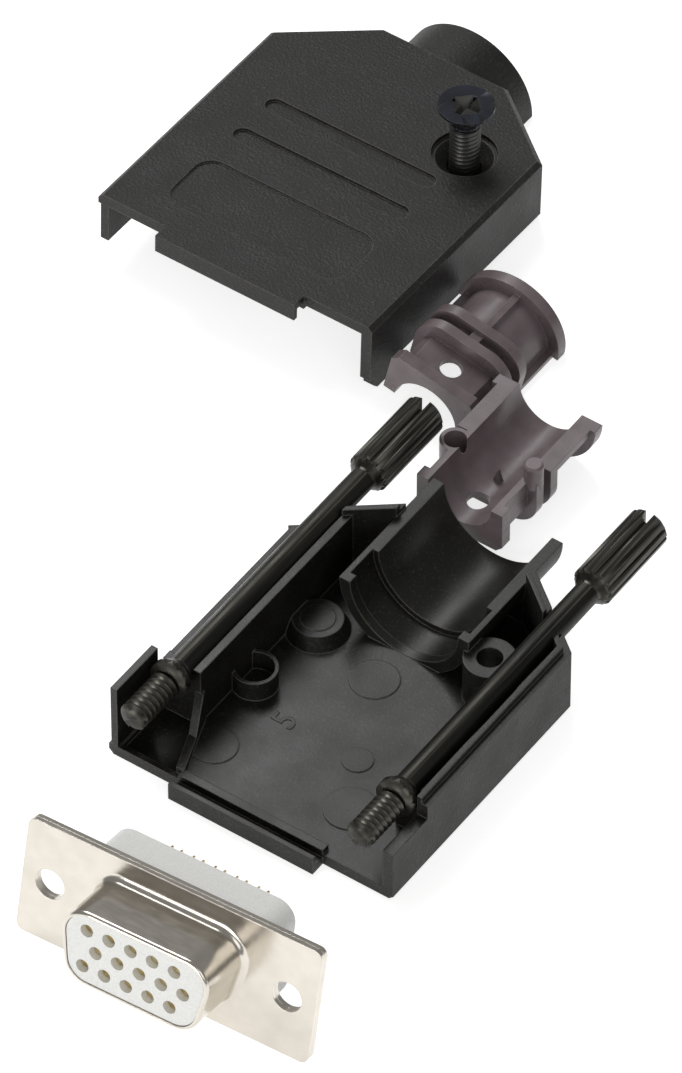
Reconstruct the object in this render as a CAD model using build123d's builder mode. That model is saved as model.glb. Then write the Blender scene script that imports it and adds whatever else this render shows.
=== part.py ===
"""D-sub connector kit: a two-part hood laid open on a bench, with its two jackscrews,
cover screw, two-part cable clamp and a 15-way high-density socket connector.

Every piece is drawn where it sits in the closed hood, so that the fits are explicit,
and is then set down on the bench where it lies in the opened kit.
Closed hood: X across, +Y from the mating face to the cable, +Z up, and the outer face
of the lower cover at Z = 0. All sizes are in millimetres.
"""
import os
from math import atan, cos, degrees, radians, sin

from build123d import *

# Hood
HOOD_W = 31.5
HOOD_T = 14.5
SIDE_L = 28.3
NECK_Y = 35.0
BARREL_R = 7.2
BARREL_END = 39.5
WALL = 1.2
FLOOR = 1.2
MID = HOOD_T / 2
PARTING = 7.7
EDGE_ROUND = 0.5
TONGUE_W = 0.5
TONGUE_H = 0.7
REBATE_GAP = 0.1
LEG_L = 5.4
LEG_H = 1.65
LEG_GAP = 0.05
LEG_INSET = 0.6
LEG_TIP = 0.6

# Side channel of the left jackscrew: low outer walls and a full inner wall
CHANNEL_INSET = 0.3
CHANNEL_WALL = 0.8
CHANNEL_LOW = 5.4
CHANNEL_LEG_L = 6.4
CHANNEL_LEG_H = 8.8
CHANNEL_LEG_T = 0.7
CHANNEL_LEG_GAP = 0.1
TAB_Y = 8.6
TAB_L = 4.0
TAB_T = 0.8
TAB_GAP = 0.1

# Front lip that hooks over the long edge of the connector flange
LIP_W = 16.0
LIP_FLOOR = 0.85
HOOK_T = 0.5
HOOK_H = 2.0
RIB_T = 0.9
RIB_H = 1.75

# Cable saddle
CLAMP_WALL = 1.2
SADDLE_Y = 24.3
SADDLE_RIB_T = 1.0
GROOVE_DEPTH = 0.65

# Jackscrews, 4-40 thread
THREAD_R = 1.42
THREAD_Y = -0.8
COLLAR_Y = 4.7
COLLAR_R = 1.95
COLLAR_L = 0.9
FLARE_L = 1.0
SHAFT_R = 1.25
SCREW_FIT = 0.08
HEAD_Y = 36.6
HEAD_L = 9.3
HEAD_R = 2.1
HEAD_NECK_L = 1.0
FLUTES = 14
FLUTE_W = 0.42
FLUTE_DEPTH = 0.28
SLOT_W = 0.9
SLOT_DEPTH = 1.3
WEB_T = 1.1
WEB_GAP = 0.3
WEB_REACH = 1.35

# Cover screw, M3 countersunk
BOLT_X = 9.1
BOLT_Y = 24.9
BOLT_R = 1.5
BOLT_HOLE_R = 1.68
BOLT_TAP_R = 1.25
BOLT_HEAD_R = 2.75
BOLT_HEAD_EDGE = 0.25
BOLT_L = 14.0
BOLT_SINK = 0.25
BOLT_SEAT_GAP = 0.1
BOLT_SEAT_RIM = 0.45
BOLT_POINT = 0.4
CROSS_W = 0.62
CROSS_SPAN = 3.0
CROSS_DEPTH = 1.5
CROSS_TAPER = 8
BOSS_R = 2.5
BOSS_GAP = 0.05

# Recesses in the outer face of the upper cover
SLOT_RECESS = 0.35
SLOT_WIDE = 1.9
REAR_SLOT_Y = 19.7
REAR_SLOT_X = (-10.2, 9.2)
FRONT_SLOT_Y = 14.6
FRONT_SLOT_X = (-10.3, 9.6)
LABEL_X = (-10.5, 9.6)
LABEL_Y = (3.0, 10.3)
LABEL_R = 2.0
LABEL_RECESS = 0.25

# Marks on the floor of the lower cover
PIN_MARK_H = 0.12
PIN_MARKS = (
    (-7.7, 5.2, 2.25),
    (6.9, 6.0, 2.6),
    (4.0, 11.2, 1.5),
    (-0.4, 20.2, 2.4),
)
CUP_BOSS_AT = (-9.1, 13.6)
CUP_BOSS_R = 2.2
CUP_BOSS_BORE_R = 1.85
CUP_BOSS_H = 2.2
STUD_AT = (-8.25, 22.4)
STUD_R = 3.1
STUD_H = 1.5
STUD_TAPER = 25
STUD_DISC_R = 1.65
CORNER_RIB_T = 0.9
CORNER_RIB_FRONT_H = 0.7
CORNER_RIB_REAR_H = 3.8
CORNER_RIB_LAP = 0.25
CORNER_RECESS = 0.6

# Cable clamp half
CLAMP_L = 15.0
CLAMP_BORE_R = 3.5
CLAMP_GAP = 0.05
JAW_W = 9.6
JAW_DEPTH = 5.0
JAW_T = 1.3
CLAMP_NECK_W = 8.4
CLAMP_NECK_DEPTH = 4.1
PLATE_W = 10.5
PLATE_DEPTH = 5.8
PLATE_ROUND = 3.0
PLATE_Y = 5.0
PLATE_T = 1.1
PLATE_SLOT = 1.2
GROOVE_FIT = 0.1
BODY_R = 4.5
RING_R = 5.8
RING_T = 1.2
RING_FIT = 0.25
KEEL_T = 0.7
KEEL_H = 0.5
RAIL_T = 0.8
PEG_X = 4.4
PEG_Y = 5.7
PEG_R = 0.95
PEG_H = 2.0
PEG_FIT = 0.15
PEG_HOLE_DEPTH = 2.4
PEG_BOSS_R = 1.5
SIGHT_HOLE_R = 1.1
SIGHT_HOLE_Y = 3.1
TOOTH_H = 1.3
TOOTH_T = 0.5
TOOTH_W = 1.1

# Connector: the flange is 30.81 mm wide, with its holes 24.99 mm apart
FLANGE_SIDE_GAP = 0.345
FLANGE_H = 12.55
FLANGE_ROUND = 0.8
SHEET_T = 0.5
FLANGE_FIT = 0.05
FLANGE_HOLE_R = 1.53
FLANGE_HOLE_EDGE = 2.91
D_W = 16.33
D_H = 7.9
D_ROUND = 2.6
D_TAPER = 10
D_DEPTH = 5.9
D_SHEET = 0.4
D_ROOT_ROUND = 0.7
D_RIM_ROUND = 0.35
FACE_RECESS = 0.15
INSULATOR_FIT = 0.05
BACK_EDGE = 5.905
BACK_H = 10.5
BACK_ROUND = 2.0
BACK_DEPTH = 4.6
PITCH = 2.29
ROW_PITCH = 1.98
COLUMNS = 5
ROWS = 3
CAVITY_R = 0.66
CONTACT_R = 0.61
CONTACT_SETBACK = 0.8
CUP_BORE_R = 0.42
CUP_L = 3.9
CUP_OPEN_L = 2.4

# Bench layout: free gaps between the groups of pieces
LAY_GAP = 0.35
CLAMP_LAY_Y = 0.7
CLAMP_PAIR_GAP = 0.6
COVER_GAP = 0.25
CONNECTOR_X = 5.2
CONNECTOR_GAP = 10.2
CONNECTOR_YAW = 3

# Worked out from the sizes above
FLANGE_W = HOOD_W - 2 * FLANGE_SIDE_GAP
BACK_W = FLANGE_W - 2 * BACK_EDGE
SCREW_X = FLANGE_W / 2 - FLANGE_HOLE_EDGE
TROUGH_R = BARREL_R - CLAMP_WALL
GROOVE_R = TROUGH_R + GROOVE_DEPTH
GROOVE_Y = SADDLE_Y + SADDLE_RIB_T
PLATES_L = 2 * PLATE_T + PLATE_SLOT
GROOVE_L = PLATES_L + 2 * GROOVE_FIT
CLAMP_Y = GROOVE_Y + GROOVE_FIT - PLATE_Y
NOTCH_R = SHAFT_R + SCREW_FIT
CHANNEL_X = SCREW_X - NOTCH_R
BOSS_TOP = MID - SHAFT_R - BOSS_GAP
WEB_Y = COLLAR_Y + COLLAR_L + FLARE_L + WEB_GAP
FLANGE_T = 2 * SHEET_T
FLANGE_REAR = -FLANGE_FIT
FLANGE_FRONT = FLANGE_REAR - FLANGE_T
HOOK_Y = FLANGE_FRONT - FLANGE_FIT
LIP_Y = HOOK_Y - HOOK_T
RIM_Y = FLANGE_FRONT - D_DEPTH
FACE_Y = RIM_Y + FACE_RECESS
BACK_Y = FLANGE_REAR + BACK_DEPTH
CUP_END = BACK_Y + CUP_L
UPPER_RIM = HOOD_T - PARTING
UPPER_LOW = HOOD_T - CHANNEL_LEG_H - CHANNEL_LEG_GAP
BOLT_TOP = HOOD_T - BOLT_SINK


def section(y):
    """Cross-section plane at y, seen from the front; amounts below zero run rearwards."""
    return Plane.XZ.offset(-y)


def hood_plan(inset=0.0):
    """Plan of the hood: straight sides, then a taper to the cable neck."""
    Polygon(
        (-HOOD_W / 2, 0),
        (HOOD_W / 2, 0),
        (HOOD_W / 2, SIDE_L),
        (BARREL_R, NECK_Y),
        (-BARREL_R, NECK_Y),
        (-HOOD_W / 2, SIDE_L),
        align=None,
    )
    if inset:
        offset(amount=-inset, kind=Kind.INTERSECTION)


def open_front(inset):
    """Carries an inset plan forwards past the mating face, which has no wall."""
    with Locations((0, 0)):
        Rectangle(HOOD_W - 2 * inset, 4 * inset)


def half_disc(radius):
    """Half disc below the cable axis, in a cross-section."""
    with Locations((0, MID)):
        Circle(radius)
    with Locations((0, MID + radius)):
        Rectangle(2 * radius, 2 * radius, mode=Mode.SUBTRACT)


def notch(x):
    """Open-topped round seat for a jackscrew shaft, in a cross-section."""
    with Locations((x, MID)):
        Circle(NOTCH_R)
    with Locations((x, MID + HOOD_T / 2)):
        Rectangle(2 * NOTCH_R, HOOD_T)


def beyond(side, x, front, rear):
    """Plan of all that lies further out than x on one side, between two cross-sections."""
    with Locations((side * (x + HOOD_W / 2), (front + rear) / 2)):
        Rectangle(HOOD_W, rear - front)


def cover_half(rim, side, low, front_l):
    """Half of the hood, lying with its outer face down and its open side up.

    The side channel of the jackscrew is on the side given (1 or -1). Its outer wall
    has the height low behind front_l.
    """
    inner = HOOD_W / 2 - WALL
    bolt_x = -side * BOLT_X
    with BuildPart() as cover:
        with BuildSketch():
            hood_plan()
        extrude(amount=rim)
        outer_edges = cover.edges().group_by(Axis.Z)[0].filter_by(lambda e: e.center().Y > WALL)
        chamfer(outer_edges, length=EDGE_ROUND)
        with BuildSketch(Plane.XY.offset(FLOOR)):
            hood_plan(WALL)
            open_front(WALL)
        extrude(amount=rim, mode=Mode.SUBTRACT)

        # Side channel: the outer wall stands back from the edge and is low, and a full
        # wall closes the hood on the inner side of the jackscrew
        with BuildSketch(Plane.XY.offset(FLOOR)):
            beyond(side, HOOD_W / 2 - CHANNEL_INSET, -WALL, SIDE_L)
        extrude(amount=rim, mode=Mode.SUBTRACT)
        with BuildSketch(Plane.XY.offset(low)):
            beyond(side, CHANNEL_X, front_l, NECK_Y)
        extrude(amount=rim, mode=Mode.SUBTRACT)
        with BuildSketch(Plane.XY.offset(FLOOR / 2)):
            with Locations((side * (CHANNEL_X - CHANNEL_WALL / 2), (WEB_Y + NECK_Y) / 2)):
                Rectangle(CHANNEL_WALL, NECK_Y - WEB_Y)
            with BuildSketch(mode=Mode.INTERSECT):
                hood_plan(WALL / 2)
        extrude(amount=rim - FLOOR / 2)

        # The barrel runs on into the hood as the cable saddle
        with BuildSketch(section(SADDLE_Y)):
            half_disc(BARREL_R)
        extrude(amount=SADDLE_Y - BARREL_END)

        # Screw boss beside the saddle
        with BuildSketch(Plane.XY.offset(FLOOR / 2)):
            with Locations((bolt_x, BOLT_Y)):
                Circle(BOSS_R)
        extrude(amount=BOSS_TOP - FLOOR / 2)

        with BuildSketch(section(SADDLE_Y)):
            with Locations((0, MID)):
                Circle(TROUGH_R)
        extrude(amount=SADDLE_Y - BARREL_END, mode=Mode.SUBTRACT)
        with BuildSketch(section(GROOVE_Y)):
            with Locations((0, MID)):
                Circle(GROOVE_R)
        extrude(amount=-GROOVE_L, mode=Mode.SUBTRACT)

        # Webs on the side walls that carry the jackscrews behind their collars
        web_w = inner - SCREW_X + WEB_REACH
        with BuildSketch(section(WEB_Y)):
            for end in (-1, 1):
                with Locations((end * (inner - web_w / 2), (FLOOR + MID) / 2)):
                    Rectangle(web_w, MID - FLOOR)
        extrude(amount=-WEB_T)
        with BuildSketch(section(WEB_Y)):
            for end in (-1, 1):
                notch(end * SCREW_X)
        extrude(amount=-WEB_T, mode=Mode.SUBTRACT)

        # Notches where the jackscrews leave through the tapered rear wall
        with BuildSketch(section(SIDE_L - WALL)):
            for end in (-1, 1):
                notch(end * SCREW_X)
        extrude(amount=SIDE_L - WALL - NECK_Y, mode=Mode.SUBTRACT)

        # Lip and hook that catch the flange, and the rib behind it
        lip_l = -LIP_Y + WALL
        with BuildSketch(Plane.XY):
            with Locations((0, LIP_Y + lip_l / 2)):
                Rectangle(LIP_W, lip_l)
        extrude(amount=LIP_FLOOR)
        with BuildSketch(section(LIP_Y)):
            with Locations((0, HOOK_H / 2)):
                Rectangle(LIP_W, HOOK_H)
        extrude(amount=-HOOK_T)
        with BuildSketch(section(0)):
            with Locations((0, RIB_H / 2)):
                Rectangle(LIP_W, RIB_H)
        extrude(amount=-RIB_T)
    return cover


def clamp_half():
    """Cable clamp half: bore along Y, parting face up at Z = 0, front jaw at Y = 0."""
    with BuildPart() as half:
        # Front jaw, then the necked part behind it
        with BuildSketch(section(0)) as jaw:
            with Locations((0, -JAW_DEPTH / 2)):
                Rectangle(JAW_W, JAW_DEPTH)
            chamfer(jaw.vertices().group_by(Axis.Y)[0], length=0.7)
        extrude(amount=-JAW_T)
        with BuildSketch(section(JAW_T)) as neck:
            with Locations((0, -CLAMP_NECK_DEPTH / 2)):
                Rectangle(CLAMP_NECK_W, CLAMP_NECK_DEPTH)
            chamfer(neck.vertices().group_by(Axis.Y)[0], length=0.8)
        extrude(amount=JAW_T - PLATE_Y)

        # Two cross plates that sit in the saddle groove, with a tab between them
        for y in (PLATE_Y, PLATE_Y + PLATE_T + PLATE_SLOT):
            with BuildSketch(section(y)) as plate:
                with Locations((0, -PLATE_DEPTH / 2)):
                    Rectangle(PLATE_W, PLATE_DEPTH)
                fillet(plate.vertices().group_by(Axis.Y)[0], radius=PLATE_ROUND)
            extrude(amount=-PLATE_T)
        with BuildSketch(section(PLATE_Y + PLATE_T)) as core:
            with Locations((0, -BODY_R / 2)):
                Rectangle(PLATE_W - 2 * PLATE_T, BODY_R)
            fillet(core.vertices().group_by(Axis.Y)[0], radius=PLATE_ROUND)
            with Locations((0, -(PLATE_DEPTH - KEEL_H) / 2)):
                Rectangle(PLATE_T, PLATE_DEPTH - KEEL_H)
        extrude(amount=-PLATE_SLOT)

        # Half-round body with a keel and side rails, and the ring at the cable end
        body_y = PLATE_Y + PLATES_L
        with BuildSketch(section(body_y)):
            Circle(BODY_R)
            with Locations((0, -(BODY_R + KEEL_H) / 2)):
                Rectangle(KEEL_T, BODY_R + KEEL_H)
            with Locations((0, -RAIL_T / 2)):
                Rectangle(PLATE_W, RAIL_T)
        extrude(amount=body_y - CLAMP_L)
        with BuildSketch(section(CLAMP_L - RING_T)):
            Circle(RING_R)
        extrude(amount=-RING_T)

        # Boss for the mating peg
        with BuildSketch():
            with Locations((-PEG_X, PEG_Y)):
                Circle(PEG_BOSS_R)
        extrude(amount=-PEG_HOLE_DEPTH - PEG_FIT)

        # Cable bore, parting face and sight hole
        with BuildSketch(section(0)):
            Circle(CLAMP_BORE_R)
        extrude(amount=-CLAMP_L, mode=Mode.SUBTRACT)
        split(bisect_by=Plane.XY.offset(-CLAMP_GAP), keep=Keep.BOTTOM)
        with BuildSketch():
            with Locations((0, SIGHT_HOLE_Y)):
                Circle(SIGHT_HOLE_R)
        extrude(amount=-JAW_DEPTH, mode=Mode.SUBTRACT)
        with BuildSketch():
            with Locations((-PEG_X, PEG_Y)):
                Circle(PEG_R + PEG_FIT)
        extrude(amount=-PEG_HOLE_DEPTH, mode=Mode.SUBTRACT)

        # Peg and the tooth that bites the cable sheath
        with BuildSketch(Plane.XY.offset(-RAIL_T)):
            with Locations((PEG_X, PEG_Y)):
                Circle(PEG_R)
        extrude(amount=RAIL_T + PEG_H)
        chamfer(half.edges().group_by(Axis.Z)[-1], length=0.2)
        with BuildSketch(section(PLATE_Y + PLATE_T)):
            with BuildLine():
                Polyline(
                    (-TOOTH_W / 2, -CLAMP_BORE_R - TOOTH_T / 2),
                    (TOOTH_W / 2, -CLAMP_BORE_R - TOOTH_T / 2),
                    (0, -CLAMP_BORE_R + TOOTH_H),
                    close=True,
                )
            make_face()
        extrude(amount=-TOOTH_T)
    return half


def jackscrew():
    """Jackscrew along Y: threaded end, collar with a flare, shaft and fluted thumb head."""
    flare_y = COLLAR_Y + COLLAR_L
    with BuildPart() as screw:
        with BuildSketch():
            with BuildLine():
                Polyline(
                    (0, THREAD_Y),
                    (THREAD_R - 0.35, THREAD_Y),
                    (THREAD_R, THREAD_Y + 0.35),
                    (THREAD_R, COLLAR_Y),
                    (COLLAR_R, COLLAR_Y),
                    (COLLAR_R, flare_y),
                    (SHAFT_R, flare_y + FLARE_L),
                    (SHAFT_R, HEAD_Y - HEAD_NECK_L),
                    (HEAD_R, HEAD_Y),
                    (HEAD_R, HEAD_Y + HEAD_L - 0.3),
                    (HEAD_R - 0.3, HEAD_Y + HEAD_L),
                    (0, HEAD_Y + HEAD_L),
                    close=True,
                )
            make_face()
        revolve(axis=Axis.Y)
        with BuildSketch(section(HEAD_Y - HEAD_NECK_L)):
            with PolarLocations(HEAD_R, FLUTES):
                Rectangle(2 * FLUTE_DEPTH, FLUTE_W)
        extrude(amount=-HEAD_L - HEAD_NECK_L, mode=Mode.SUBTRACT)
        with BuildSketch(section(HEAD_Y + HEAD_L)):
            Rectangle(SLOT_W, 2.5 * HEAD_R)
        extrude(amount=SLOT_DEPTH, mode=Mode.SUBTRACT)
    return screw


def d_outline(sketch, inset=0.0):
    """Outline of the D-shaped shell in a cross-section, wide side up."""
    with Locations((0, MID)):
        Trapezoid(D_W, D_H, 90 - D_TAPER, rotation=180)
    fillet(sketch.vertices(), D_ROUND)
    if inset:
        offset(amount=-inset)


def flange_outline(sketch):
    """Flange with rounded corners and its two jackscrew holes, in a cross-section."""
    with Locations((0, MID)):
        Rectangle(FLANGE_W, FLANGE_H)
    fillet(sketch.vertices(), FLANGE_ROUND)
    with Locations((-SCREW_X, MID), (SCREW_X, MID)):
        Circle(FLANGE_HOLE_R, mode=Mode.SUBTRACT)


def back_outline(sketch, inset=0.0):
    """Rounded outline of the rear insulator, in a cross-section."""
    with Locations((0, MID)):
        Rectangle(BACK_W - 2 * inset, BACK_H - 2 * inset)
    fillet(sketch.vertices(), BACK_ROUND)


def contact_places():
    """Centres of the fifteen cavities: the middle row is half a pitch to the right."""
    places = []
    for row in range(ROWS):
        shift = PITCH / 4 if row % 2 else -PITCH / 4
        z = MID + ((ROWS - 1) / 2 - row) * ROW_PITCH
        for column in range(COLUMNS):
            places.append((shift + (column - (COLUMNS - 1) / 2) * PITCH, z))
    return places


def contact():
    """Contact along Y: stem through both insulators and an open solder cup."""
    nose = FACE_Y + CONTACT_SETBACK
    with BuildPart() as pin:
        with BuildSketch(section(nose)):
            Circle(CONTACT_R)
        extrude(amount=nose - CUP_END)
        with BuildSketch(section(CUP_END)):
            Circle(CUP_BORE_R)
            with Locations((0, CONTACT_R)):
                Rectangle(2 * CONTACT_R, CONTACT_R * 1.5)
        extrude(amount=CUP_OPEN_L, mode=Mode.SUBTRACT)
    return pin


def bench(seat, x, y, lean=0, roll=0, yaw=0):
    """Puts the point seat of the closed hood on the bench at x, y, turned as given."""
    place = Location((x, y - SIDE_L / 2, 0), (0, 0, yaw)) * Location((0, 0, 0), (lean, roll, 0))
    return place * Location((-seat[0], -seat[1], -seat[2]))


# The bench: each group lies where the opened kit shows it, clear of its neighbours
leg_rear = LEG_L - LEG_GAP
leg_tip = PARTING - LEG_H + LEG_GAP
cover_lean = -degrees(atan((MID - leg_tip) / (BARREL_END - leg_rear)))
peg_lean = degrees(atan(PEG_H / (RING_R + PEG_X - PEG_R)))
back_drop = (FLANGE_H - BACK_H) / 2
back_lean = -degrees(atan(back_drop / BACK_DEPTH))

clamp_lower_x = HEAD_R - SCREW_X + LAY_GAP + PLATE_W / 2
clamp_lower_y = BARREL_END + CLAMP_LAY_Y
clamp_upper_x = clamp_lower_x - RING_R - CLAMP_PAIR_GAP - JAW_W / 2
clamp_upper_y = clamp_lower_y + CLAMP_L - PLATE_Y + LAY_GAP
cover_x = clamp_upper_x - RING_R - COVER_GAP - HOOD_W / 2
cover_y = clamp_upper_y

TURNED_OVER = Location((0, 0, HOOD_T), (0, 180, 0))
LOWER_BENCH = bench((0, 0, 0), 0, 0)
UPPER_BENCH = bench((0, BARREL_END, MID), cover_x, cover_y + BARREL_END, lean=cover_lean)
CLAMP_LOWER_BENCH = bench((0, CLAMP_Y, MID - RING_R), clamp_lower_x, clamp_lower_y)
CLAMP_UPPER_BENCH = bench(
    (RING_R, CLAMP_Y, MID + CLAMP_GAP),
    clamp_upper_x + RING_R,
    clamp_upper_y,
    roll=peg_lean,
)
CONNECTOR_BENCH = bench(
    (0, FLANGE_REAR, MID - FLANGE_H / 2),
    CONNECTOR_X,
    LIP_Y - CONNECTOR_GAP - BACK_DEPTH - CUP_L,
    lean=back_lean,
    yaw=CONNECTOR_YAW,
)

# Lower cover
inner_w = HOOD_W / 2 - WALL
with BuildPart() as lower_cover:
    add(cover_half(PARTING, -1, CHANNEL_LOW, CHANNEL_LEG_L).part)

    # The barrel parts at mid height, so the rim beside it makes room for the upper half
    with BuildSketch(Plane.XY.offset(MID)):
        with Locations((0, (SADDLE_Y + BARREL_END) / 2)):
            Rectangle(2 * BARREL_R, BARREL_END - SADDLE_Y)
    extrude(amount=HOOD_T, mode=Mode.SUBTRACT)

    # Tongue along the inside of the rim
    with BuildSketch(Plane.XY.offset(PARTING)):
        hood_plan(WALL - TONGUE_W)
        with BuildSketch(mode=Mode.SUBTRACT):
            hood_plan(WALL)
            open_front(WALL)
        with Locations((0, NECK_Y)):
            Rectangle(2 * BARREL_R, 4 * WALL, mode=Mode.SUBTRACT)
        with Locations((SCREW_X, NECK_Y)):
            Rectangle(2 * NOTCH_R, 2 * (NECK_Y - SIDE_L + WALL), mode=Mode.SUBTRACT)
        with BuildSketch(mode=Mode.SUBTRACT):
            beyond(-1, CHANNEL_X, -WALL, NECK_Y + WALL)
    extrude(amount=TONGUE_H)

    # The front of the right rim steps down for the leg of the upper cover
    with BuildSketch(Plane.XY.offset(PARTING - LEG_H)):
        beyond(1, SCREW_X + NOTCH_R, -WALL, LEG_L)
    extrude(amount=HOOD_T, mode=Mode.SUBTRACT)

    # The front of the left outer wall is thinner, beside the thread, and rises as a leg
    leg_x = CHANNEL_INSET + CHANNEL_LEG_T - HOOD_W / 2
    with BuildSketch(Plane.XY.offset(FLOOR)):
        with Locations(((leg_x - inner_w) / 2, (CHANNEL_LEG_L - WALL) / 2)):
            Rectangle(-inner_w - leg_x, CHANNEL_LEG_L + WALL)
    extrude(amount=HOOD_T, mode=Mode.SUBTRACT)
    with BuildSketch(Plane.XY.offset(FLOOR / 2)):
        with Locations((leg_x - CHANNEL_LEG_T / 2, CHANNEL_LEG_L / 2)):
            Rectangle(CHANNEL_LEG_T, CHANNEL_LEG_L)
    extrude(amount=CHANNEL_LEG_H - FLOOR / 2)

    # Tapped hole of the cover screw
    with BuildSketch():
        with Locations((BOLT_X, BOLT_Y)):
            Circle(BOLT_TAP_R)
    extrude(amount=BOSS_TOP, mode=Mode.SUBTRACT)

    # Closed stud and the cup boss on the left
    with BuildSketch(Plane.XY.offset(FLOOR)):
        with Locations(STUD_AT):
            Circle(STUD_R)
    extrude(amount=STUD_H, taper=STUD_TAPER)
    with BuildSketch(Plane.XY.offset(FLOOR + STUD_H)):
        with Locations(STUD_AT):
            Circle(STUD_DISC_R)
    extrude(amount=PIN_MARK_H)
    with BuildSketch(Plane.XY.offset(FLOOR)):
        with Locations(CUP_BOSS_AT):
            Circle(CUP_BOSS_R)
            Circle(CUP_BOSS_BORE_R, mode=Mode.SUBTRACT)
    extrude(amount=CUP_BOSS_H)

    # Ejector pin marks
    for x, y, radius in PIN_MARKS:
        with BuildSketch(Plane.XY.offset(FLOOR)):
            with Locations((x, y)):
                Circle(radius)
        extrude(amount=PIN_MARK_H)

    # Recess with a diagonal gusset rib in the front left corner, rising to the web
    corner = (
        (-inner_w, WALL / 2),
        (CORNER_RIB_LAP - LIP_W / 2 - CORNER_RIB_T, WALL / 2),
        (-SCREW_X + WEB_REACH, WEB_Y),
        (-inner_w, WEB_Y),
    )
    with BuildSketch(Plane.XY.offset(FLOOR)):
        Polygon(*corner, align=None)
    extrude(amount=-CORNER_RECESS, mode=Mode.SUBTRACT)
    with BuildSketch(Plane.XY.offset(FLOOR - CORNER_RECESS)):
        Polygon(
            corner[1],
            (corner[1][0] + CORNER_RIB_T, corner[1][1]),
            (corner[2][0] + CORNER_RIB_T, WEB_Y + WEB_T / 2),
            (corner[2][0], WEB_Y + WEB_T / 2),
            align=None,
        )
    extrude(amount=CORNER_RECESS + CORNER_RIB_REAR_H)
    with BuildSketch(Plane.YZ.offset(corner[2][0])):
        Polygon(
            (corner[1][1], FLOOR + CORNER_RIB_FRONT_H),
            (BACK_Y, FLOOR + CORNER_RIB_FRONT_H),
            (WEB_Y, FLOOR + CORNER_RIB_REAR_H),
            (WEB_Y, HOOD_T),
            (corner[1][1], HOOD_T),
            align=None,
        )
    extrude(amount=corner[1][0] + CORNER_RIB_T - corner[2][0], mode=Mode.SUBTRACT)
lower_cover.part.locate(LOWER_BENCH)
lower_cover.part.label = "lower_cover"

# Upper cover, drawn like the lower one with its outer face down, then turned over
with BuildPart() as upper_cover:
    add(cover_half(UPPER_RIM, 1, UPPER_LOW, 0).part)

    # Rebate that takes the tongue
    rebate_h = TONGUE_H + REBATE_GAP
    with BuildSketch(Plane.XY.offset(UPPER_RIM - rebate_h)):
        hood_plan(WALL - TONGUE_W - REBATE_GAP)
        with BuildSketch(mode=Mode.SUBTRACT):
            hood_plan(WALL)
            open_front(WALL)
        with Locations((0, NECK_Y)):
            Rectangle(2 * BARREL_R, 4 * WALL, mode=Mode.SUBTRACT)
    extrude(amount=rebate_h, mode=Mode.SUBTRACT)

    # Leg at the front right corner reaches down past the rim
    with BuildSketch(Plane.YZ.offset(-HOOD_W / 2)):
        leg_h = rebate_h + LEG_H - LEG_GAP
        with Locations(((LEG_INSET + leg_rear) / 2, UPPER_RIM - rebate_h + leg_h / 2)):
            leg = Rectangle(leg_rear - LEG_INSET, leg_h)
        chamfer(leg.vertices().group_by(Axis.Y)[-1].sort_by(Axis.X)[0], length=LEG_TIP)
    extrude(amount=WALL)

    # Locating tab that slips inside the channel wall of the lower cover
    tab_rear = TAB_Y + TAB_L
    tab_rim = UPPER_RIM + LEG_H - LEG_GAP - (tab_rear - leg_rear) * sin(radians(-cover_lean))
    for gap, depth in ((0, UPPER_RIM), (TAB_GAP, tab_rim)):
        with BuildSketch(Plane.XY.offset(FLOOR / 2)):
            with Locations((CHANNEL_X - CHANNEL_WALL - (gap + TAB_T) / 2, TAB_Y + TAB_L / 2)):
                Rectangle(TAB_T - gap, TAB_L)
        extrude(amount=depth - FLOOR / 2)

    # Clearance hole and countersunk seat of the cover screw
    with BuildSketch(Plane.XY.offset(-FLOOR)):
        with Locations((-BOLT_X, BOLT_Y)):
            Circle(BOLT_HOLE_R)
    extrude(amount=HOOD_T, mode=Mode.SUBTRACT)
    seat_r = BOLT_HEAD_R + BOLT_SEAT_RIM
    cone_top = BOLT_SINK + BOLT_HEAD_EDGE
    with BuildSketch(section(BOLT_Y).shift_origin((-BOLT_X, BOLT_Y, 0))):
        Polygon(
            (0, -FLOOR),
            (seat_r, -FLOOR),
            (seat_r, cone_top),
            (BOLT_HEAD_R + BOLT_SEAT_GAP, cone_top),
            (BOLT_HOLE_R, cone_top + BOLT_HEAD_R + BOLT_SEAT_GAP - BOLT_HOLE_R),
            (0, cone_top + BOLT_HEAD_R),
            align=None,
        )
    revolve(axis=Axis((-BOLT_X, BOLT_Y, 0), (0, 0, 1)), mode=Mode.SUBTRACT)

    # Two long grip slots and the label field in the outer face
    with BuildSketch():
        for span, y in ((REAR_SLOT_X, REAR_SLOT_Y), (FRONT_SLOT_X, FRONT_SLOT_Y)):
            with Locations((-(span[0] + span[1]) / 2, y)):
                SlotOverall(span[1] - span[0], SLOT_WIDE)
    extrude(amount=SLOT_RECESS, mode=Mode.SUBTRACT)
    with BuildSketch():
        with Locations((-(LABEL_X[0] + LABEL_X[1]) / 2, (LABEL_Y[0] + LABEL_Y[1]) / 2)):
            RectangleRounded(LABEL_X[1] - LABEL_X[0], LABEL_Y[1] - LABEL_Y[0], LABEL_R)
    extrude(amount=LABEL_RECESS, mode=Mode.SUBTRACT)
upper_cover.part.locate(UPPER_BENCH * TURNED_OVER)
upper_cover.part.label = "upper_cover"

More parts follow.
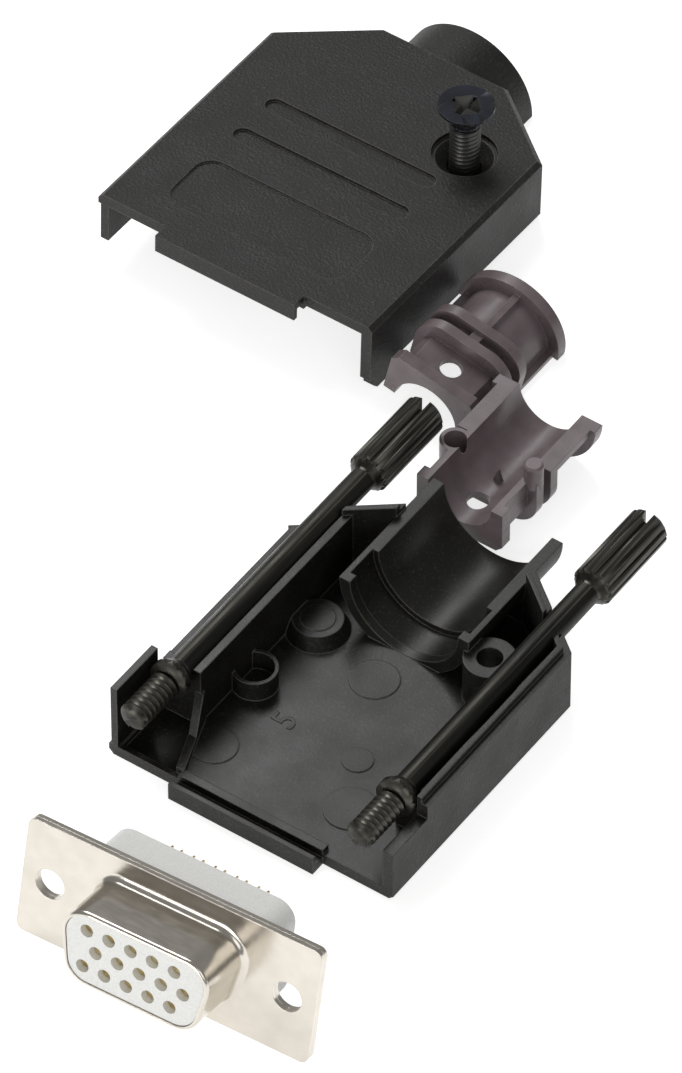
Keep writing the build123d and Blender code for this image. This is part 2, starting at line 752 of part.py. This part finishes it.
# Countersunk cover screw, along Z with its point at the origin
with BuildPart() as cover_screw:
    with BuildSketch(Plane.XZ):
        Polygon(
            (0, 0),
            (BOLT_R - BOLT_POINT, 0),
            (BOLT_R, BOLT_POINT),
            (BOLT_R, BOLT_L - BOLT_HEAD_EDGE - BOLT_HEAD_R + BOLT_R),
            (BOLT_HEAD_R, BOLT_L - BOLT_HEAD_EDGE),
            (BOLT_HEAD_R, BOLT_L),
            (0, BOLT_L),
            align=None,
        )
    revolve(axis=Axis.Z)
    with BuildSketch(Plane.XY.offset(BOLT_L)):
        Rectangle(CROSS_SPAN, CROSS_W)
        Rectangle(CROSS_W, CROSS_SPAN)
    extrude(amount=-CROSS_DEPTH, taper=CROSS_TAPER, mode=Mode.SUBTRACT)
bolt_point = UPPER_BENCH * Location((BOLT_X, BOLT_Y, BOLT_TOP - BOLT_L))
bolt_slide = Location((0, 0, -bolt_point.position.Z / cos(radians(cover_lean))))
cover_screw.part.locate(bolt_point * bolt_slide)
cover_screw.part.label = "cover_screw"

# Cable clamp: two like halves
clamp_lower = clamp_half()
clamp_lower.part.locate(CLAMP_LOWER_BENCH * Location((0, CLAMP_Y, MID)))
clamp_lower.part.label = "clamp_lower"

clamp_upper = clamp_half()
clamp_upper.part.locate(CLAMP_UPPER_BENCH * Location((0, CLAMP_Y, MID), (0, 180, 0)))
clamp_upper.part.label = "clamp_upper"

# Jackscrews, lying in the lower cover
jackscrew_left = jackscrew()
jackscrew_left.part.locate(LOWER_BENCH * Location((-SCREW_X, 0, MID)))
jackscrew_left.part.label = "jackscrew_left"

jackscrew_right = jackscrew()
jackscrew_right.part.locate(LOWER_BENCH * Location((SCREW_X, 0, MID)))
jackscrew_right.part.label = "jackscrew_right"

# Front shell of the connector: drawn D with the front flange sheet
with BuildPart() as front_shell:
    with BuildSketch(section(FLANGE_FRONT)) as outline:
        flange_outline(outline)
    extrude(amount=-SHEET_T)
    with BuildSketch(section(FLANGE_FRONT)) as outline:
        d_outline(outline)
    extrude(amount=D_DEPTH)
    fillet(front_shell.edges().group_by(Axis.Y)[0], radius=D_RIM_ROUND)
    root = front_shell.edges().filter_by_position(Axis.Y, FLANGE_FRONT - 0.01, FLANGE_FRONT + 0.01)
    fillet(root.filter_by_position(Axis.X, -D_W / 2 - 0.1, D_W / 2 + 0.1).filter_by(
        lambda e: abs(e.center().Z - MID) < D_H / 2 + 0.1
    ), radius=D_ROOT_ROUND)
    with BuildSketch(section(FLANGE_REAR)) as outline:
        d_outline(outline, D_SHEET)
    extrude(amount=FLANGE_T + D_DEPTH, mode=Mode.SUBTRACT)
front_shell.part.locate(CONNECTOR_BENCH)
front_shell.part.label = "front_shell"

# Rear shell: the second flange sheet, with the same D opening
with BuildPart() as rear_shell:
    with BuildSketch(section(FLANGE_FRONT + SHEET_T)) as outline:
        flange_outline(outline)
    extrude(amount=-SHEET_T)
    with BuildSketch(section(FLANGE_FRONT + SHEET_T)) as outline:
        d_outline(outline, D_SHEET)
    extrude(amount=-SHEET_T, mode=Mode.SUBTRACT)
rear_shell.part.locate(CONNECTOR_BENCH)
rear_shell.part.label = "rear_shell"

# Front insulator: the D block that fills the shell, with fifteen cavities
with BuildPart() as front_insulator:
    with BuildSketch(section(FACE_Y)) as outline:
        d_outline(outline, D_SHEET + INSULATOR_FIT)
    extrude(amount=FACE_Y - FLANGE_REAR)
    with BuildSketch(section(FACE_Y)):
        with Locations(*contact_places()):
            Circle(CAVITY_R)
    extrude(amount=FACE_Y - FLANGE_REAR, mode=Mode.SUBTRACT)
front_insulator.part.locate(CONNECTOR_BENCH)
front_insulator.part.label = "front_insulator"

# Rear insulator: rounded block behind the flange that holds the contacts
with BuildPart() as rear_insulator:
    with BuildSketch(section(FLANGE_REAR)) as outline:
        back_outline(outline)
    extrude(amount=-BACK_DEPTH)
    with BuildSketch(section(FLANGE_REAR)):
        with Locations(*contact_places()):
            Circle(CAVITY_R)
    extrude(amount=-BACK_DEPTH, mode=Mode.SUBTRACT)
rear_insulator.part.locate(CONNECTOR_BENCH)
rear_insulator.part.label = "rear_insulator"

# Fifteen contacts, one to a cavity
contacts = []
for number, (x, z) in enumerate(contact_places(), start=1):
    pin = contact()
    pin.part.locate(CONNECTOR_BENCH * Location((x, 0, z)))
    pin.part.label = f"contact_{number:02d}"
    contacts.append(pin)

os.makedirs("parts", exist_ok=True)
export_step(lower_cover.part, "parts/lower_cover.step")
export_step(upper_cover.part, "parts/upper_cover.step")
export_step(cover_screw.part, "parts/cover_screw.step")
export_step(clamp_lower.part, "parts/clamp_lower.step")
export_step(clamp_upper.part, "parts/clamp_upper.step")
export_step(jackscrew_left.part, "parts/jackscrew_left.step")
export_step(jackscrew_right.part, "parts/jackscrew_right.step")
export_step(front_shell.part, "parts/front_shell.step")
export_step(rear_shell.part, "parts/rear_shell.step")
export_step(front_insulator.part, "parts/front_insulator.step")
export_step(rear_insulator.part, "parts/rear_insulator.step")
for pin in contacts:
    export_step(pin.part, f"parts/{pin.part.label}.step")
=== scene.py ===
import math

import bpy
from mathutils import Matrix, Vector


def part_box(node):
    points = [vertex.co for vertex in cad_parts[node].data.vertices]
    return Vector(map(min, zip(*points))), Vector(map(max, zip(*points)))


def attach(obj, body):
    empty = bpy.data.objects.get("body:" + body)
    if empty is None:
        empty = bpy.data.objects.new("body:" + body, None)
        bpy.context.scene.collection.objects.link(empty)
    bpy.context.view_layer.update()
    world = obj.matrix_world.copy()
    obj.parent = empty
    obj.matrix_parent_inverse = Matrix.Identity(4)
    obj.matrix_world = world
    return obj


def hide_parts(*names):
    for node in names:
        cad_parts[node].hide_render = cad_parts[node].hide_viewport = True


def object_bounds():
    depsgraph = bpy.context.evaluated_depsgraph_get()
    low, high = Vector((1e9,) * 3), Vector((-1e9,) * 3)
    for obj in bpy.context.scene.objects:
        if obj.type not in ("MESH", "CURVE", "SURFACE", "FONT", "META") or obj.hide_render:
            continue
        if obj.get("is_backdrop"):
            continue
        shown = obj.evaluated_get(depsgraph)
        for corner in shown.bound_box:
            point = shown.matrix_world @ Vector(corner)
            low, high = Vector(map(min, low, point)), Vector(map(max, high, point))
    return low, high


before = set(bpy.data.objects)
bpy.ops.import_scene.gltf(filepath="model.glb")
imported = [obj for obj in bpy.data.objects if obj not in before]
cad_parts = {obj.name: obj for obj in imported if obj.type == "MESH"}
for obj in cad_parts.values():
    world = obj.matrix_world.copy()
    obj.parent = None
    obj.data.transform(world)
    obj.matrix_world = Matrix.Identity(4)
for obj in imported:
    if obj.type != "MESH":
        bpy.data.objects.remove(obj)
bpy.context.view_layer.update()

# Lower cover: the half of the hood that lies on its back. Moulded in black glass-filled
# nylon. Its outside has a fine spark-eroded grain, and its inside was left smoother.
BEVEL_SAMPLES = 4
MOULD_EDGE = 0.00018
GRAIN_DEPTH = 0.00007


def linear(colour):
    """An sRGB hex colour as the linear values that a shader takes."""
    parts = [int(colour[i : i + 2], 16) / 255 for i in (1, 3, 5)]
    return [*(p / 12.92 if p <= 0.04045 else ((p + 0.055) / 1.055) ** 2.4 for p in parts), 1.0]


def put(tree, kind, inputs=None, **settings):
    """Adds a node with its settings, and its inputs as values or as links."""
    node = tree.nodes.new("ShaderNode" + kind)
    for name, value in settings.items():
        setattr(node, name, value)
    for name, value in (inputs or {}).items():
        if isinstance(value, bpy.types.NodeSocket):
            tree.links.new(value, node.inputs[name])
        else:
            node.inputs[name].default_value = value
    return node


def new_material(name):
    """An empty node material and its tree, with the shader and the output in place."""
    material = bpy.data.materials.new(name)
    material.use_nodes = True
    tree = material.node_tree
    tree.nodes.clear()
    shader = put(tree, "BsdfPrincipled")
    put(tree, "OutputMaterial", {"Surface": shader.outputs[0]})
    return material, tree, shader


def noise(tree, size, detail=3.0, stretch=(1, 1, 1)):
    """Noise with features of about size in metres, drawn out along an axis by stretch."""
    place = put(tree, "TexCoord")
    mapped = put(tree, "Mapping", {"Vector": place.outputs["Object"], "Scale": stretch})
    texture = put(tree, "TexNoise", {"Vector": mapped.outputs[0], "Scale": 1 / size, "Detail": detail})
    return texture.outputs["Fac"]


def ramp(tree, value, low, high, to_low=0.0, to_high=1.0):
    """A value between low and high spread over a new range."""
    node = put(tree, "MapRange", {0: value, 1: low, 2: high, 3: to_low, 4: to_high})
    return node.outputs[0]


def blend(tree, amount, first, second):
    """A colour between two, by an amount that runs from 0 to 1."""
    node = put(tree, "Mix", {0: amount, 6: first, 7: second}, data_type="RGBA")
    return node.outputs[2]


def edges(tree, radius):
    """1 on sharp edges and 0 on flat faces, with the rounded normal that goes with it."""
    rounded = put(tree, "Bevel", {"Radius": radius}, samples=BEVEL_SAMPLES)
    flat = put(tree, "NewGeometry")
    turn = put(tree, "VectorMath", {0: rounded.outputs[0], 1: flat.outputs["True Normal"]},
               operation="DOT_PRODUCT")
    return ramp(tree, turn.outputs["Value"], 0.998, 0.9), rounded.outputs[0]


def moulded_plastic(name, dull, light, grain, inside):
    """Moulded plastic: grain outside, smoother where the normal points inside.

    Inside is 1 where the inner faces look up, and -1 where they look down.
    """
    material, tree, shader = new_material(name)
    facing = put(tree, "NewGeometry")
    split = put(tree, "SeparateXYZ", {0: facing.outputs["Normal"]})
    smooth = ramp(tree, split.outputs["Z"], 0.2 * inside, 0.6 * inside)
    cloud = noise(tree, 0.004)
    speckle = noise(tree, grain, 2.0)
    colour = blend(tree, ramp(tree, cloud, 0.35, 0.65), linear(dull), linear(light))
    fleck = ramp(tree, speckle, 0.58, 0.74, 0.0, 0.4)
    colour = blend(tree, fleck, colour, linear("#55534f"))
    # Painted highlight: sharp edges and rims are blended towards a pale grey, as if light caught them.
    edge_highlight_and_wear, rounded = edges(tree, MOULD_EDGE)
    edge_highlight = put(tree, "Math", {0: edge_highlight_and_wear, 1: ramp(tree, cloud, 0.3, 0.7, 0.35, 0.8)}, operation="MULTIPLY")
    colour = blend(tree, edge_highlight.outputs[0], colour, linear("#7c7a72"))
    tree.links.new(colour, shader.inputs["Base Color"])
    rough = ramp(tree, smooth, 0.0, 1.0, 0.52, 0.34)
    rough = put(tree, "Math", {0: rough, 1: ramp(tree, cloud, 0.3, 0.7, -0.05, 0.06)}, operation="ADD")
    tree.links.new(rough.outputs[0], shader.inputs["Roughness"])
    depth = ramp(tree, smooth, 0.0, 1.0, 0.85, 0.12)
    bump = put(tree, "Bump", {"Strength": depth, "Distance": GRAIN_DEPTH, "Height": speckle,
                              "Normal": rounded})
    tree.links.new(bump.outputs[0], shader.inputs["Normal"])
    shader.inputs["Specular IOR Level"].default_value = 0.36
    return material


def dress(node_name, material):
    """Gives a CAD node its finished material."""
    for slot in bpy.data.objects[node_name].material_slots:
        slot.material = material


# The grain is drawn at 0.26 mm, coarser than the real one, so that it shows at this size
GRAIN = 0.00026
# The lower cover gets darker, greener colours than the upper one: painted shade for its inside.
lower_nylon_shaded = moulded_plastic("hood_nylon_black", "#131310", "#1c1c18", GRAIN, 1)
dress("lower_cover", lower_nylon_shaded)

# Cavity number: a plain digit that the mould leaves on the floor of the lower cover,
# raised by less than a tenth of a millimetre.
FLOOR_TOP = 0.0012
DIGIT_PLACE = (-0.0031, -0.0036, FLOOR_TOP)
DIGIT_SIZE = 0.0034
DIGIT_HEIGHT = 0.00008
DIGIT_CURVE_STEPS = 4
MERGE_DISTANCE = 0.000001


def turn_and_place(angle, axis, place):
    """Turns the active mesh about the origin, then moves it to its place."""
    bpy.ops.object.mode_set(mode="EDIT")
    bpy.ops.mesh.select_all(action="SELECT")
    bpy.ops.transform.rotate(value=angle, orient_axis=axis, center_override=(0, 0, 0))
    bpy.ops.transform.translate(value=place)
    bpy.ops.object.mode_set(mode="OBJECT")


bpy.ops.object.select_all(action="DESELECT")
bpy.ops.object.text_add(location=(0, 0, 0))
digit = bpy.context.object
digit.name = "cavity_digit"
digit.data.body = "5"
digit.data.size = DIGIT_SIZE
digit.data.extrude = DIGIT_HEIGHT
digit.data.resolution_u = DIGIT_CURVE_STEPS
bpy.ops.object.convert(target="MESH")
digit = bpy.context.object
bpy.ops.object.mode_set(mode="EDIT")
bpy.ops.mesh.select_all(action="SELECT")
bpy.ops.mesh.remove_doubles(threshold=MERGE_DISTANCE)
bpy.ops.mesh.normals_make_consistent(inside=False)
bpy.ops.object.mode_set(mode="OBJECT")
turn_and_place(-math.pi / 2, "Z", DIGIT_PLACE)
digit.data.materials.append(lower_nylon_shaded)
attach(digit, "root")

# Upper cover: the other half, turned over so that its grained outside shows. It has the
# same nylon, drawn in lighter colours than the lower cover's as painted light on its lit
# outside, and its underside is the smoother inside.
dress("upper_cover", moulded_plastic("hood_nylon_black_top", "#191817", "#21201e", GRAIN, -1))

# Jackscrews: turned steel, blackened, with a rolled 4-40 thread in front of the collar
# and a fluted thumb head. They lie in the open notches of the lower cover.
STEEL_EDGE = 0.00008
STREAK_DEPTH = 0.00002
SMOOTH_ANGLE = math.radians(30)
# The end of a rod narrows to a share of its width, and a thread is as deep as a share of
# its pitch. Its turns are drawn with some to spare, which are cut off.
END_WIDTH = 0.84
THREAD_DEPTH = 0.61
THREAD_STEPS = 32
SPARE_TURNS = 3


def blackened_steel(name, dark, light, streak):
    """Blackened steel with turning streaks, lighter on its edges and crests: partly wear, partly a
    painted highlight.
    """
    material, tree, shader = new_material(name)
    lines = noise(tree, 0.0012, 4.0, streak)
    cloud = noise(tree, 0.003)
    colour = blend(tree, ramp(tree, lines, 0.35, 0.7), linear(dark), linear(light))
    # Edges and crests blended towards a pale grey: partly wear, partly a painted highlight.
    edge_highlight_and_wear, rounded = edges(tree, STEEL_EDGE)
    colour = blend(tree, ramp(tree, edge_highlight_and_wear, 0.0, 1.0, 0.0, 0.35), colour, linear("#77756d"))
    tree.links.new(colour, shader.inputs["Base Color"])
    tree.links.new(ramp(tree, cloud, 0.3, 0.7, 0.3, 0.46), shader.inputs["Roughness"])
    bump = put(tree, "Bump", {"Strength": 0.25, "Distance": STREAK_DEPTH, "Height": lines,
                              "Normal": rounded})
    tree.links.new(bump.outputs[0], shader.inputs["Normal"])
    shader.inputs["Metallic"].default_value = 0.75
    return material


def drawn_line(name, points):
    """A line of edges through the points, drawn by pulling one vertex along."""
    bpy.ops.object.select_all(action="DESELECT")
    bpy.ops.mesh.primitive_plane_add(size=0.001, location=(0, 0, 0))
    piece = bpy.context.object
    piece.name = name
    piece.data.name = name
    bpy.ops.object.mode_set(mode="EDIT")
    bpy.ops.mesh.select_all(action="SELECT")
    bpy.ops.mesh.merge(type="CENTER")
    bpy.ops.transform.translate(value=points[0])
    for start, end in zip(points, points[1:]):
        step = [b - a for a, b in zip(start, end)]
        bpy.ops.mesh.extrude_vertices_move(TRANSFORM_OT_translate={"value": step})
    bpy.ops.object.mode_set(mode="OBJECT")
    return piece


def closed_end(depth):
    """Closes the selected ring of edges with a chamfer of the given depth and a flat face."""
    bpy.ops.mesh.extrude_edges_move(TRANSFORM_OT_translate={"value": (0, 0, depth)})
    bpy.ops.transform.resize(value=(END_WIDTH, END_WIDTH, 1), center_override=(0, 0, 0))
    bpy.ops.mesh.extrude_edges_move(TRANSFORM_OT_translate={"value": (0, 0, 0)})
    bpy.ops.mesh.merge(type="CENTER")


def threaded_rod(name, crest, pitch, length):
    """A rod along Z from the origin, with a helical thread and chamfered ends."""
    root = crest - THREAD_DEPTH * pitch
    flat = pitch / 10
    end = pitch / 3
    piece = drawn_line(name, [(root, 0, 0), (crest, 0, pitch / 2 - flat),
                              (crest, 0, pitch / 2 + flat), (root, 0, pitch)])
    thread = piece.modifiers.new("thread", "SCREW")
    thread.axis = "Z"
    thread.screw_offset = pitch
    thread.iterations = math.ceil(length / pitch) + SPARE_TURNS
    thread.steps = THREAD_STEPS
    thread.render_steps = THREAD_STEPS
    bpy.ops.object.modifier_apply(modifier=thread.name)
    bpy.ops.object.mode_set(mode="EDIT")
    bpy.ops.mesh.select_all(action="SELECT")
    bpy.ops.mesh.remove_doubles(threshold=2 * MERGE_DISTANCE)
    bpy.ops.transform.translate(value=(0, 0, -SPARE_TURNS / 2 * pitch))
    bpy.ops.mesh.bisect(plane_co=(0, 0, end), plane_no=(0, 0, 1), clear_inner=True)
    closed_end(-end)
    bpy.ops.mesh.select_all(action="SELECT")
    bpy.ops.mesh.bisect(plane_co=(0, 0, length - end), plane_no=(0, 0, 1), clear_outer=True)
    closed_end(end)
    bpy.ops.mesh.select_all(action="SELECT")
    bpy.ops.mesh.normals_make_consistent(inside=False)
    bpy.ops.object.mode_set(mode="OBJECT")
    return piece


def rest_of(node_name, name, point, axis):
    """A copy of a CAD node without what lies behind the plane at point."""
    source = bpy.data.objects[node_name]
    piece = bpy.data.objects.new(name, source.data.copy())
    bpy.context.collection.objects.link(piece)
    piece.matrix_world = source.matrix_world.copy()
    bpy.ops.object.select_all(action="DESELECT")
    piece.select_set(True)
    bpy.context.view_layer.objects.active = piece
    bpy.ops.object.transform_apply(location=True, rotation=True, scale=True)
    bpy.ops.object.mode_set(mode="EDIT")
    bpy.ops.mesh.select_all(action="SELECT")
    bpy.ops.mesh.remove_doubles(threshold=MERGE_DISTANCE)
    bpy.ops.mesh.bisect(plane_co=point, plane_no=axis, use_fill=True, clear_inner=True)
    bpy.ops.mesh.select_all(action="SELECT")
    bpy.ops.mesh.normals_make_consistent(inside=False)
    bpy.ops.object.mode_set(mode="OBJECT")
    return piece


def joined(body, rod, material, node_name, ride):
    """One finished piece from a screw's body and its thread, in place of the CAD node."""
    bpy.ops.object.select_all(action="DESELECT")
    rod.select_set(True)
    body.select_set(True)
    bpy.context.view_layer.objects.active = body
    bpy.ops.object.join()
    body.data.materials.clear()
    body.data.materials.append(material)
    bpy.ops.object.shade_smooth_by_angle(angle=SMOOTH_ANGLE)
    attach(body, ride)
    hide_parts(node_name)
    dress(node_name, material)


screw_black = blackened_steel("jackscrew_steel_blackened", "#1b1b18", "#3a3933", (1, 0.06, 1))
THREAD_CREST = 0.00142
THREAD_PITCH = 0.000635
THREAD_LENGTH = 0.0055
RUN_OUT = 0.00015
for side in ("left", "right"):
    node = f"jackscrew_{side}"
    low, high = (Vector(corner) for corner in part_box(node))
    end = Vector(((low.x + high.x) / 2, low.y, (low.z + high.z) / 2))
    rod = threaded_rod(f"thread_{side}", THREAD_CREST, THREAD_PITCH, THREAD_LENGTH)
    turn_and_place(math.pi / 2, "X", end)
    cut = end + Vector((0, THREAD_LENGTH - RUN_OUT, 0))
    body = rest_of(node, f"jackscrew_{side}_turned", cut, (0, 1, 0))
    joined(body, rod, screw_black, node, f"{side}_jackscrew")

# Cover screw: countersunk M3 steel screw with a cross recess and a bluish black finish.
# It stands in its hole in the upper cover, leaning with the cover.
bolt_black = blackened_steel("cover_screw_steel_black", "#0e1118", "#1b1f29", (0.5, 0.5, 0.5))
COVER_LEAN = math.radians(1.929)
BOLT_LENGTH = 0.014
BOLT_HEAD_R = 0.00275
BOLT_CREST = 0.0015
BOLT_PITCH = 0.0005
BOLT_SHANK = 0.012
BOLT_POINT = 0.00015
low, high = (Vector(corner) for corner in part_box("cover_screw"))
axis = Vector((0, math.sin(COVER_LEAN), math.cos(COVER_LEAN)))
top = Vector(((low.x + high.x) / 2, (low.y + high.y) / 2, high.z - BOLT_HEAD_R * math.sin(COVER_LEAN)))
point = top - axis * (BOLT_LENGTH - BOLT_POINT)
rod = threaded_rod("cover_screw_thread", BOLT_CREST, BOLT_PITCH, BOLT_SHANK - BOLT_POINT)
turn_and_place(COVER_LEAN, "X", point)
shank_end = top - axis * (BOLT_LENGTH - BOLT_SHANK + RUN_OUT)
body = rest_of("cover_screw", "cover_screw_turned", shank_end, axis)
joined(body, rod, bolt_black, "cover_screw", "root")

# Cable clamp: two like halves, moulded in a brown grey nylon with a satin surface. They
# lie side by side between the covers.
CLAMP_EDGE = 0.0001
FLOW_DEPTH = 0.00002
clamp_nylon, tree, shader = new_material("clamp_nylon_grey")
cloud = noise(tree, 0.003)
flow = noise(tree, 0.0008, 2.0, (1, 0.25, 1))
colour = blend(tree, ramp(tree, cloud, 0.35, 0.65), linear("#64585a"), linear("#766a6d"))
# Painted highlight: edges are blended towards a pale silvery grey, as if light caught them.
edge_highlight_and_wear, rounded = edges(tree, CLAMP_EDGE)
colour = blend(tree, ramp(tree, edge_highlight_and_wear, 0.0, 1.0, 0.0, 0.5), colour, linear("#a09799"))
tree.links.new(colour, shader.inputs["Base Color"])
tree.links.new(ramp(tree, flow, 0.3, 0.7, 0.26, 0.4), shader.inputs["Roughness"])
bump = put(tree, "Bump", {"Strength": 0.2, "Distance": FLOW_DEPTH, "Height": flow,
                          "Normal": rounded})
tree.links.new(bump.outputs[0], shader.inputs["Normal"])
for name in ("clamp_lower", "clamp_upper"):
    dress(name, clamp_nylon)

# Connector shells: drawn steel, tin plated. The front one carries the D collar, and the
# rear one is the second flange sheet.
SHEET_EDGE = 0.0001
tin, tree, shader = new_material("shell_steel_tinned")
cloud = noise(tree, 0.002)
draw = noise(tree, 0.0006, 3.0, (0.3, 1, 1))
colour = blend(tree, ramp(tree, cloud, 0.3, 0.7), linear("#d0cac0"), linear("#d8d2c8"))
rounded = put(tree, "Bevel", {"Radius": SHEET_EDGE}, samples=BEVEL_SAMPLES)
tree.links.new(colour, shader.inputs["Base Color"])
tree.links.new(ramp(tree, draw, 0.3, 0.7, 0.17, 0.25), shader.inputs["Roughness"])
tree.links.new(rounded.outputs[0], shader.inputs["Normal"])
shader.inputs["Metallic"].default_value = 1.0
for name in ("front_shell", "rear_shell"):
    dress(name, tin)

# Insulators: white glass-filled thermoplastic blocks in front of and behind the flange,
# moulded, with a faint fibre speckle.
white, tree, shader = new_material("insulator_pbt_white")
speckle = noise(tree, 0.0002, 3.0)
colour = blend(tree, ramp(tree, speckle, 0.4, 0.7), linear("#f6f6f3"), linear("#ecece8"))
tree.links.new(colour, shader.inputs["Base Color"])
tree.links.new(ramp(tree, speckle, 0.3, 0.7, 0.34, 0.48), shader.inputs["Roughness"])
for name in ("front_insulator", "rear_insulator"):
    dress(name, white)

# Contacts: turned copper alloy with a thin gold flash, its tone varying at random.
CONTACT_COUNT = 15
gilt, tree, shader = new_material("contact_brass_gilt")
tone = noise(tree, 0.0008)
colour = blend(tree, ramp(tree, tone, 0.35, 0.65), linear("#c9b27a"), linear("#dccfa8"))
tree.links.new(colour, shader.inputs["Base Color"])
tree.links.new(ramp(tree, tone, 0.3, 0.7, 0.22, 0.36), shader.inputs["Roughness"])
shader.inputs["Metallic"].default_value = 1.0
for number in range(1, CONTACT_COUNT + 1):
    dress(f"contact_{number:02d}", gilt)

# It is white to the camera and in reflections, and keeps the soft shadow of the
# pieces.
FLOOR_SIZE = 4.0
FLOOR_GLOW = 0.74
bpy.ops.mesh.primitive_plane_add(size=FLOOR_SIZE, location=(0, 0, 0))
floor = bpy.context.object
floor.name = "floor"
floor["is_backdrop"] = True
floor_pale, tree, shader = new_material("floor_paper_white")
tree.nodes.remove(shader)
path = put(tree, "LightPath")
seen = put(tree, "Math", {0: path.outputs["Is Camera Ray"], 1: path.outputs["Is Glossy Ray"]},
           operation="MAXIMUM")
seen = put(tree, "Math", {0: seen.outputs[0], 1: path.outputs["Is Transmission Ray"]},
           operation="MAXIMUM")
paper = put(tree, "BsdfDiffuse", {"Color": linear("#e4e4e4")})
glow = put(tree, "Emission", {"Color": (1, 1, 1, 1), "Strength": FLOOR_GLOW})
lifted = put(tree, "AddShader", {0: paper.outputs[0], 1: glow.outputs[0]})
mixed = put(tree, "MixShader", {0: seen.outputs[0], 1: paper.outputs[0], 2: lifted.outputs[0]})
tree.links.new(mixed.outputs[0], tree.nodes["Material Output"].inputs["Surface"])
floor.data.materials.append(floor_pale)

# Studio light: a pale room, two large soft boxes above, and a low one in front.
ROOM_LIGHT = 0.27
world = bpy.data.worlds.new("studio")
bpy.context.scene.world = world
world.use_nodes = True
tree = world.node_tree
tree.nodes.clear()
sky = put(tree, "Background", {"Color": (1, 1, 1, 1), "Strength": ROOM_LIGHT})
put(tree, "OutputWorld", {"Surface": sky.outputs[0]})


def soft_box(name, place, size, power):
    """A square area lamp at place that faces the origin."""
    lamp = bpy.data.lights.new(name, "AREA")
    lamp.shape = "SQUARE"
    lamp.size = size
    lamp.energy = power
    holder = bpy.data.objects.new(name, lamp)
    bpy.context.collection.objects.link(holder)
    holder.location = place
    holder.rotation_euler = (-Vector(place)).to_track_quat("-Z", "Y").to_euler()


soft_box("key_box", (-0.35, 0.25, 0.55), 0.35, 2.2)
soft_box("fill_box", (0.45, -0.35, 0.4), 0.4, 0.7)
soft_box("front_box", (-0.05, -0.6, 0.16), 0.3, 1.5)

# Camera: at the photograph's viewing angle, far off with a long lens, for its nearly
# parallel lines of sight.
AZIMUTH = math.radians(35.0)
ELEVATION = math.radians(46.8)
DISTANCE = 1.0
VIEW_HEIGHT = 0.0989
SENSOR_WIDTH = 36.0
aim = Vector((-0.0117, 0.01685, 0.004))
back = Vector((
    math.sin(AZIMUTH) * math.cos(ELEVATION),
    -math.cos(AZIMUTH) * math.cos(ELEVATION),
    math.sin(ELEVATION),
))
lens = bpy.data.cameras.new("camera")
lens.sensor_width = SENSOR_WIDTH
lens.lens = lens.sensor_width * DISTANCE / VIEW_HEIGHT
lens.clip_start = 0.1
lens.clip_end = 10.0
camera = bpy.data.objects.new("camera", lens)
bpy.context.collection.objects.link(camera)
camera.location = aim + back * DISTANCE
camera.rotation_euler = (-back).to_track_quat("-Z", "Y").to_euler()
bpy.context.scene.camera = camera
bpy.context.scene.view_settings.view_transform = "Standard"

low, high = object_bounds()
